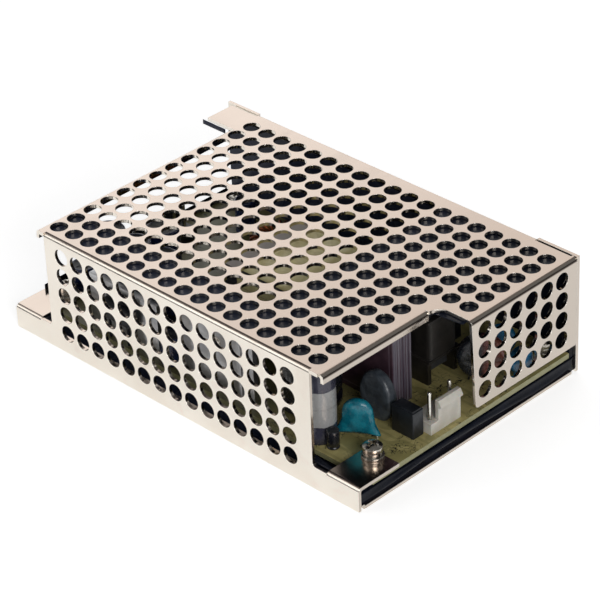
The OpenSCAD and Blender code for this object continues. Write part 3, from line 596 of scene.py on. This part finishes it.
def sleeve_fuse():
    """The shrink sleeve over the fuse: its upper end drawn in over the cap, its lower end cut square."""
    low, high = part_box("sleeved_fuse")
    centre = Vector(((low.x + high.x) / 2, (low.y + high.y) / 2, low.z))
    radius, height = (high.x - low.x) / 2 / MM + 0.6, (high.z - low.z) / MM
    side = [(radius * 0.94, 0), (radius, 0.06)] + [(radius, height * k / 12) for k in range(1, 11)]
    side += [(radius * 0.99, height * 0.93)] + arc(radius - 1.2, height - 1.4, 1.2, 0, 80, 6)
    side += [(radius * 0.66, height - 0.16), (radius * 0.62, height - 0.3)]
    bm = bmesh.new()
    lathe(bm, centre, side)
    lathe(bm, centre, [(radius * 0.63, height - 0.28), (radius * 0.5, height - 0.9), (radius * 0.18, height - 0.95),
                       (0, height - 0.7)], look=1)
    obj = piece("sleeved_fuse_shrunk", bm, "grey_sleeve", "sleeved_fuse")
    obj.data.materials.append(LOOK["white_moulding"])
    lumps = bpy.data.textures.new("sleeve_lumps", "CLOUDS")
    lumps.noise_scale = 5 * MM
    shrink = obj.modifiers.new("shrink", "DISPLACE")
    shrink.texture, shrink.strength, shrink.mid_level = lumps, 0.12 * MM, 0.6


def resistors():
    """Axial resistors: a dog-bone body with drawn ends, over bent leads."""
    bodies, leads = bmesh.new(), []
    for points in solids("resistors"):
        low, high = extent(points)
        mid = (low + high) / 2
        axis_z = high.z - 1.6 * MM
        half = (high.x - low.x) / 2 / MM - 1.45
        profile = [(0, -half), (0.7, -half), (1.2, -half + 0.12), (1.55, -half + 0.5), (1.6, -half + 1.1),
                   (1.42, -half + 1.9), (1.36, 0), (1.42, half - 1.9), (1.6, half - 1.1), (1.55, half - 0.5),
                   (1.2, half - 0.12), (0.7, half), (0, half)]
        start = len(bodies.verts)
        lathe(bodies, Vector((0, 0, 0)), profile, 28)
        bodies.verts.ensure_lookup_table()
        lay = Matrix.Translation((mid.x, mid.y, axis_z)) @ Matrix.Rotation(math.pi / 2, 4, "Y")
        for vert in bodies.verts[start:]:
            vert.co = lay @ vert.co
        run = [Vector((low.x + 0.35 * MM, mid.y, low.z))]
        run += [Vector((low.x + (0.35 + dx) * MM, mid.y, axis_z + dz * MM))
                for dx, dz in ((0, -0.8), (0.2, -0.2), (0.8, 0))]
        leads.append(run + [Vector((2 * mid.x - p.x, p.y, p.z)) for p in reversed(run)])
    piece("resistor_bodies", bodies, "tan_coating", "resistors")
    wire("resistor_leads", leads, 0.62, "tinned_pins")


def strip(name, across, rise, place, thickness=0.1):
    """Thin film over an even grid: place(f, h) gives the point at a share of its length and height."""
    bm = bmesh.new()
    rows = [[bm.verts.new(place(i / across, j / rise)) for i in range(across + 1)] for j in range(rise + 1)]
    for low_row, high_row in zip(rows, rows[1:]):
        for i in range(across):
            bm.faces.new((low_row[i], low_row[i + 1], high_row[i + 1], high_row[i]))
    obj = piece(name, bm, "black_film")
    body = obj.modifiers.new("thickness", "SOLIDIFY")
    body.thickness = thickness * MM


def film_edges():
    """The insulating film's two ends, one creased under the board and one up past it, and its loose corner."""
    low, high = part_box("insulating_sheet")
    board_low, board_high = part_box("board")
    wall_low, wall_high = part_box("cover")

    def front(f, h):
        crease = 0.3 + 0.45 * math.sin(math.pi * min(1, f * 1.25)) + 0.03 * noise.noise(Vector((f * 7, 0, 3)))
        belly = 0.55 * math.exp(-((h - crease) / 0.22) ** 2) + 0.1 * noise.noise(Vector((f * 5, h * 2, 0)))
        belly *= min(1, 6 * f, 8 * (1 - f))
        return (min(high.x + (0.3 + max(0.0, belly)) * MM, wall_high.x - 0.14 * MM),
                wall_low.y + (1.05 + (wall_high.y - wall_low.y) / MM * f - 2.1 * f) * MM,
                0.3 * MM + (board_low.z - 0.65 * MM) * h)

    def back(f, h):
        wave = 0.16 * noise.noise(Vector((f * 6, h * 2, 8)))
        top = board_high.z + (2.9 + 0.3 * noise.noise(Vector((f * 4, 0, 5)))) * MM
        return (low.x - (0.35 + wave) * MM, low.y + 8 * MM + (high.y - 1.2 * MM - low.y - 8 * MM) * f,
                low.z + (top - low.z) * h)

    def corner(f, h):
        rise = 0.25 + 1.6 * max(0.0, 1 - 3.2 * h) ** 2 + 0.1 * noise.noise(Vector((f * 3, h * 2, 4)))
        reach = 1.1 + (3.9 - 1.6 * f) * h
        return (wall_low.x + (114 + 11 * f) * MM, wall_low.y + reach * MM, board_high.z + rise * MM)

    strip("film_corner", 20, 10, corner)
    strip("film_front", 90, 12, front, 0.12)
    strip("film_back", 90, 10, back, 0.12)


def film_lining():
    """The film under the cover's top: along the perforated wall, over the input side and below the far tab. It is a
    dark sheet that darkens the inside: partly a lining such cases have, partly a sheet standing in for shade.
    """
    low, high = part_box("cover")
    sheet, gap, inset = 1.0, 0.14, 1.9
    under = high.z - (sheet + gap) * MM
    input_from, notch_end, flap_end = 89.6, 122.6, 134.2

    def along(f, h):
        sag = 0.08 + 0.06 * noise.noise(Vector((f * 9, h * 2, 1)))
        return (low.x + (14 + 78 * f) * MM, low.y + (inset + 13.3 * h) * MM, under - sag * MM)

    def over_input(f, h):
        sag = 0.08 + 0.06 * noise.noise(Vector((f * 5, h * 6, 2)))
        end = notch_end if h < 0.5 else flap_end
        return (low.x + (input_from + (end - input_from) * f) * MM, low.y + (inset + 83.4 * h) * MM, under - sag * MM)

    def under_tab(f, h):
        wave = 0.05 * noise.noise(Vector((f * 4, h * 2, 6)))
        return (low.x + (0.5 + 9.6 * f) * MM, high.y - (12.1 + wave) * MM, under - 1.5 * h * MM)

    strip("film_under_tab", 12, 4, under_tab)
    strip("film_lining_side", 60, 8, along)
    strip("film_lining_input", 30, 60, over_input)


def varistor():
    """A dipped disc whose coat runs down and flares into two feet over its leads."""
    low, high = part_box("varistor")
    mid, foot, turn = (low + high) / 2, low.z + 0.9 * MM, Matrix.Rotation(math.radians(32), 3, "Z")
    tall, rings, steps = (high.z - foot) / MM, 30, 40
    disc_half, disc_thick, shoulder = 4.3, 1.75, 0.6
    bm, stack = bmesh.new(), []
    for k in range(rings):
        z = tall * math.sin(math.pi / 2 * k / rings) ** 1.1
        crown = (z - shoulder * tall) / (0.4 * tall)
        half = disc_half * math.sqrt(1 - crown ** 2) if crown > 0 else disc_half
        flare = max(0.0, 1 - z / (shoulder * tall)) ** 2
        thick = disc_thick * math.sqrt(1 - max(0, crown) ** 4) - 0.35 * flare
        ring = []
        for i in range(steps):
            a = 2 * math.pi * i / steps
            c, t = math.cos(a), math.sin(a)
            reach = half + flare * (2.7 if c < 0 else 1.9)
            arch = 1.5 * (1 - c * c) * flare
            lump = 1 + 0.05 * noise.noise(Vector((c * 2, z * 0.5, t)))
            spot = Vector((reach * c * lump, thick * math.copysign(abs(t) ** 0.75, t) * lump, z + arch))
            ring.append(bm.verts.new(Vector((mid.x, mid.y, foot)) + turn @ spot * MM))
        stack.append(ring)
    for below, above in zip(stack, stack[1:]):
        for i in range(steps):
            n = (i + 1) % steps
            bm.faces.new((below[i], below[n], above[n], above[i]))
    bm.faces.new(stack[0][::-1])
    crest = bm.verts.new(Vector((mid.x, mid.y, high.z)))
    for i in range(steps):
        bm.faces.new((stack[-1][i], stack[-1][(i + 1) % steps], crest))
    piece("varistor_dipped", bm, "teal_coating", "varistor")
    legs = []
    for side in (-5.4, 5.2):
        out = turn @ Vector((side, 0, 0)) * MM
        legs.append([Vector((mid.x, mid.y, low.z)) + out, Vector((mid.x, mid.y, foot + 0.8 * MM)) + out * 0.93])
    wire("varistor_legs", legs, 0.8, "tinned_pins")


def thermistor():
    """A dipped disc, slimmer than its solid and drawn down to the board."""
    low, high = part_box("thermistor")
    mid, slimmer, longer = (low + high) / 2, 0.16, 1.14
    disc = dipped("thermistor", "slate_coating", 0.3, 6, 0.3)
    for vertex in disc.data.vertices:
        vertex.co.x += (mid.x - vertex.co.x) * slimmer
        vertex.co.y += (mid.y - vertex.co.y) * slimmer
        vertex.co.z = max(low.z, high.z - (high.z - vertex.co.z) * longer)


def solder_rings():
    """The solder that rises a little round each header pin."""
    bm = bmesh.new()
    board_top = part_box("board")[1].z
    for node in ("input_pins", "output_pins"):
        for points in solids(node):
            low, high = extent(points)
            centre = Vector(((low.x + high.x) / 2, (low.y + high.y) / 2, board_top))
            lathe(bm, centre, [(1.15, 0.02), (1.0, 0.06), (0.75, 0.14), (0.6, 0.35)], 24)
    piece("solder_rings", bm, "tinned_pins")


cans("bulk_capacitor", "black_sleeve", "bulk_can")
cans("output_capacitors", "navy_sleeve", "output_cans")
cans("small_capacitors", "navy_sleeve", "small_cans", slice(0, -1))
cans("small_capacitors", "black_sleeve", "front_can", slice(-1, None))
sleeve_fuse()
varistor()
thermistor()
dipped("y_capacitors", "blue_coating", 0.28, 5, 0.3)
dipped("brown_disc", "brown_coating", 0.3, 6, 0.35)
dipped("inductor_core", "coated_core", 0.4, 5, 0.2)
wind_choke()
wind_inductor()
resistors()
film_edges()
film_lining()
solder_rings()
for node, slot_name, width in (
        ("input_header", "white_nylon", 0.3), ("output_header", "black_moulding", 0.3),
        ("fuse_block", "black_moulding", 0.35), ("film_capacitor", "plum_box", 0.35),
        ("choke_windings", "bobbin_moulding", 0.25), ("choke_core", "ferrite", 0.35),
        ("transformer_core", "ferrite", 0.4), ("transformer_bobbin", "bobbin_moulding", 0.3),
        ("transformer_winding", "yellow_tape", 0.35), ("bridge_rectifier", "black_moulding", 0.3),
        ("power_transistor", "black_moulding", 0.25), ("rectifier_diode", "black_moulding", 0.25),
        ("optocouplers", "white_moulding", 0.2), ("control_circuit", "black_moulding", 0.2),
        ("primary_heatsink", "bare_aluminium", 0.2), ("secondary_heatsink", "bare_aluminium", 0.2),
        ("board_screws", "screw_steel", 0.12), ("side_screws", "screw_steel", 0.12),
        ("device_screws", "screw_steel", 0.12), ("flat_washers", "washer_steel", 0.1),
        ("spring_washers", "washer_steel", 0.12)):
    softened(node, slot_name, width)


# ---------------------------------------------------------------- floor, light and camera
def stage_floor():
    s = Shader("pale_floor")
    s.tree.nodes.clear()
    path = s.add("ShaderNodeLightPath")
    seen = s.math("MAXIMUM", s.math("MAXIMUM", path.outputs["Is Camera Ray"], path.outputs["Is Glossy Ray"]),
                  path.outputs["Is Transmission Ray"])
    paper = s.add("ShaderNodeBsdfDiffuse", {"Color": (0.86, 0.86, 0.86, 1)})
    glow = s.add("ShaderNodeEmission", {"Color": (1, 1, 1, 1), "Strength": s.math("MULTIPLY", seen, 0.62)})
    both = s.add("ShaderNodeAddShader", {0: paper.outputs[0], 1: glow.outputs[0]})
    s.add("ShaderNodeOutputMaterial", {0: both.outputs[0]})
    mesh = bpy.data.meshes.new("floor")
    reach = 4.0
    corners = [(-reach, -reach, 0), (reach, -reach, 0), (reach, reach, 0), (-reach, reach, 0)]
    mesh.from_pydata(corners, [], [(0, 1, 2, 3)])
    floor = bpy.data.objects.new("floor", mesh)
    floor.location.z = cad_box[0].z - 0.02 * MM
    mesh.materials.append(s.material)
    bpy.context.scene.collection.objects.link(floor)


def lamp(name, place, size, power):
    """A white area lamp aimed a little above the floor, under the object's middle."""
    data = bpy.data.lights.new(name, "AREA")
    data.shape, data.size, data.size_y = "RECTANGLE", size[0], size[1]
    data.energy = power
    light = bpy.data.objects.new(name, data)
    light.location = place
    light.rotation_euler = (Vector((0, 0, 0.02)) - Vector(place)).to_track_quat("-Z", "Y").to_euler()
    bpy.context.scene.collection.objects.link(light)


def stage_world(strength):
    world = bpy.data.worlds.new("studio")
    bpy.context.scene.world = world
    world.use_nodes = True
    tree = world.node_tree
    tree.nodes.clear()
    path = tree.nodes.new("ShaderNodeLightPath")
    dim, white = tree.nodes.new("ShaderNodeBackground"), tree.nodes.new("ShaderNodeBackground")
    dim.inputs[1].default_value = strength
    dim.inputs[0].default_value = white.inputs[0].default_value = (1, 1, 1, 1)
    mix, out = tree.nodes.new("ShaderNodeMixShader"), tree.nodes.new("ShaderNodeOutputWorld")
    tree.links.new(path.outputs["Is Camera Ray"], mix.inputs[0])
    tree.links.new(dim.outputs[0], mix.inputs[1])
    tree.links.new(white.outputs[0], mix.inputs[2])
    tree.links.new(mix.outputs[0], out.inputs[0])


def stage_camera(aim, azimuth, elevation, roll, distance, lens):
    a, e = math.radians(azimuth), math.radians(elevation)
    back = Vector((math.sin(a) * math.cos(e), -math.cos(a) * math.cos(e), math.sin(e)))
    data = bpy.data.cameras.new("camera")
    data.lens, data.sensor_width = lens, 36.0
    data.clip_start, data.clip_end = 0.05, 20.0
    camera = bpy.data.objects.new("camera", data)
    camera.location = Vector(aim) + back * distance
    turn = (-back).to_track_quat("-Z", "Y").to_matrix() @ Matrix.Rotation(math.radians(roll), 3, "Z")
    camera.rotation_euler = turn.to_euler()
    bpy.context.scene.collection.objects.link(camera)
    bpy.context.scene.camera = camera


stage_floor()
stage_world(0.16)
lamp("back_left", (-0.72, 0.70, 0.68), (1.5, 1.3), 5.0)
lamp("front_left", (-0.55, -0.75, 0.6), (0.7, 0.6), 1.8)
lamp("right", (0.9, -0.4, 0.42), (0.6, 0.5), 5.4)
stage_camera(aim=(0.00226, 0.00075, 0.01626), azimuth=45.858, elevation=32.366, roll=-2.559,
             distance=0.791, lens=168.33)

bpy.context.scene.view_settings.view_transform = "Standard"
